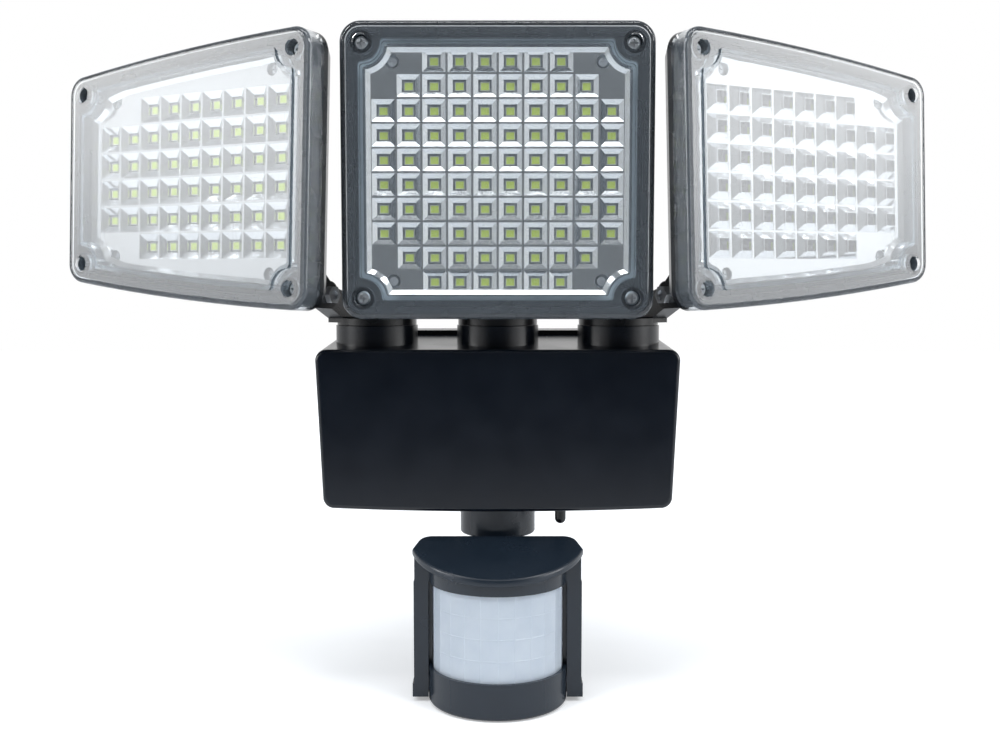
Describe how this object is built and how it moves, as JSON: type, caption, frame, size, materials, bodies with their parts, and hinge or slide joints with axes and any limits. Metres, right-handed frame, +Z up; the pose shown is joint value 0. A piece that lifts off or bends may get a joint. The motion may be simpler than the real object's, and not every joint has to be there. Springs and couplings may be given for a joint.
{
  "type": "motion sensor security light",
  "caption": "Wall-mounted solar security light with adjustable LED lamp heads on a battery housing, and a swivelling motion sensor with a hood below it.",
  "frame": {"origin": "on the wall, at the middle of the wall plate's back face", "axes": "+X to the light's right as seen from the front, -Y out from the wall, +Z up"},
  "size_m": [0.3608, 0.1141, 0.2679],
  "materials": {
    "black_housing": "fine satin texture",
    "black_shell": "satin",
    "black_arm": "satin",
    "clear_cover": "clear, polished",
    "reflector": "metallised mirror finish",
    "led_board": "white lacquer",
    "led_package": "yellow phosphor",
    "seal": "soft",
    "screw": "zinc plated",
    "wall_bracket": "powder coated",
    "cell": "wrapped",
    "inner_plastic": "plain",
    "circuit_board": "green lacquer",
    "slate_plastic": "satin",
    "lens": "translucent",
    "dial": "plain",
    "detector_can": "nickel"
  },
  "bodies": {
    "housing": {"housing_shell": "black_housing", "housing_gasket": "seal", "rear_cover": "black_shell", "housing_screws": "screw", "wall_plate": "wall_bracket", "lock_screw": "screw", "battery_cells": "cell", "battery_holder": "inner_plastic", "control_board": "circuit_board", "switch_body": "inner_plastic", "lead_gland": "inner_plastic"},
    "left_arm": {"left_swivel_arm": "black_arm", "left_swivel_keeper": "screw"},
    "left_head": {"left_rear_shell": "black_shell", "left_led_board": "led_board", "left_leds": "led_package", "left_reflector": "reflector", "left_gasket": "seal", "left_clear_cover": "clear_cover", "left_cover_screws": "screw", "left_board_screws": "screw", "left_tilt_pin": "screw"},
    "centre_arm": {"centre_swivel_arm": "black_arm", "centre_swivel_keeper": "screw"},
    "centre_head": {"centre_rear_shell": "black_shell", "centre_led_board": "led_board", "centre_leds": "led_package", "centre_reflector": "reflector", "centre_gasket": "seal", "centre_clear_cover": "clear_cover", "centre_cover_screws": "screw", "centre_board_screws": "screw", "centre_tilt_pin": "screw"},
    "right_arm": {"right_swivel_arm": "black_arm", "right_swivel_keeper": "screw"},
    "right_head": {"right_rear_shell": "black_shell", "right_led_board": "led_board", "right_leds": "led_package", "right_reflector": "reflector", "right_gasket": "seal", "right_clear_cover": "clear_cover", "right_cover_screws": "screw", "right_board_screws": "screw", "right_tilt_pin": "screw"},
    "sensor_neck_group": {"sensor_neck": "slate_plastic", "neck_keeper": "screw"},
    "sensor": {"sensor_hood": "slate_plastic", "sensor_lens": "lens", "sensor_base_cup": "slate_plastic", "sensor_case": "slate_plastic", "sensor_pin": "screw", "pir_board": "circuit_board", "pyro_element": "detector_can"},
    "time_dial_group": {"time_dial": "dial"},
    "range_dial_group": {"range_dial": "dial"},
    "light_dial_group": {"light_dial": "dial"},
    "toggle": {"toggle_lever": "black_arm"}
  },
  "joints": [
    {"name": "left_swivel", "type": "hinge", "parent": "housing", "child": "left_arm", "pos_m": [-0.0505, -0.057, 0.041], "axis": [0, 0, -1], "range_deg": [0, 13]},
    {"name": "left_tilt", "type": "hinge", "parent": "left_arm", "child": "left_head", "pos_m": [-0.07351, -0.07757, 0.054], "axis": [0.8721, -0.4894, 0], "range_deg": [0, 15]},
    {"name": "centre_swivel", "type": "hinge", "parent": "housing", "child": "centre_arm", "pos_m": [0, -0.057, 0.041], "axis": [0, 0, 1], "range_deg": [-3, 3]},
    {"name": "centre_tilt", "type": "hinge", "parent": "centre_arm", "child": "centre_head", "pos_m": [0, -0.057, 0.054], "axis": [1, 0, 0], "range_deg": [-20, 8]},
    {"name": "right_swivel", "type": "hinge", "parent": "housing", "child": "right_arm", "pos_m": [0.0505, -0.057, 0.041], "axis": [0, 0, 1], "range_deg": [0, 13]},
    {"name": "right_tilt", "type": "hinge", "parent": "right_arm", "child": "right_head", "pos_m": [0.07351, -0.07757, 0.054], "axis": [0.8721, 0.4894, 0], "range_deg": [0, 15]},
    {"name": "sensor_pan", "type": "hinge", "parent": "housing", "child": "sensor_neck_group", "pos_m": [0, -0.055, -0.04], "axis": [0, 0, 1], "range_deg": [-60, 60]},
    {"name": "sensor_tilt", "type": "hinge", "parent": "sensor_neck_group", "child": "sensor", "pos_m": [0, -0.055, -0.057], "axis": [1, 0, 0], "range_deg": [-8, 20]},
    {"name": "time_dial_turn", "type": "hinge", "parent": "sensor", "child": "time_dial_group", "pos_m": [-0.011, -0.086, -0.11], "axis": [0, 0, -1], "range_deg": [-135, 135]},
    {"name": "range_dial_turn", "type": "hinge", "parent": "sensor", "child": "range_dial_group", "pos_m": [0, -0.09, -0.11], "axis": [0, 0, -1], "range_deg": [-135, 135]},
    {"name": "light_dial_turn", "type": "hinge", "parent": "sensor", "child": "light_dial_group", "pos_m": [0.011, -0.086, -0.11], "axis": [0, 0, -1], "range_deg": [-135, 135]},
    {"name": "toggle_rock", "type": "hinge", "parent": "housing", "child": "toggle", "pos_m": [0.026, -0.068, -0.0305], "axis": [0, 1, 0], "range_deg": [-12, 12]}
  ]
}
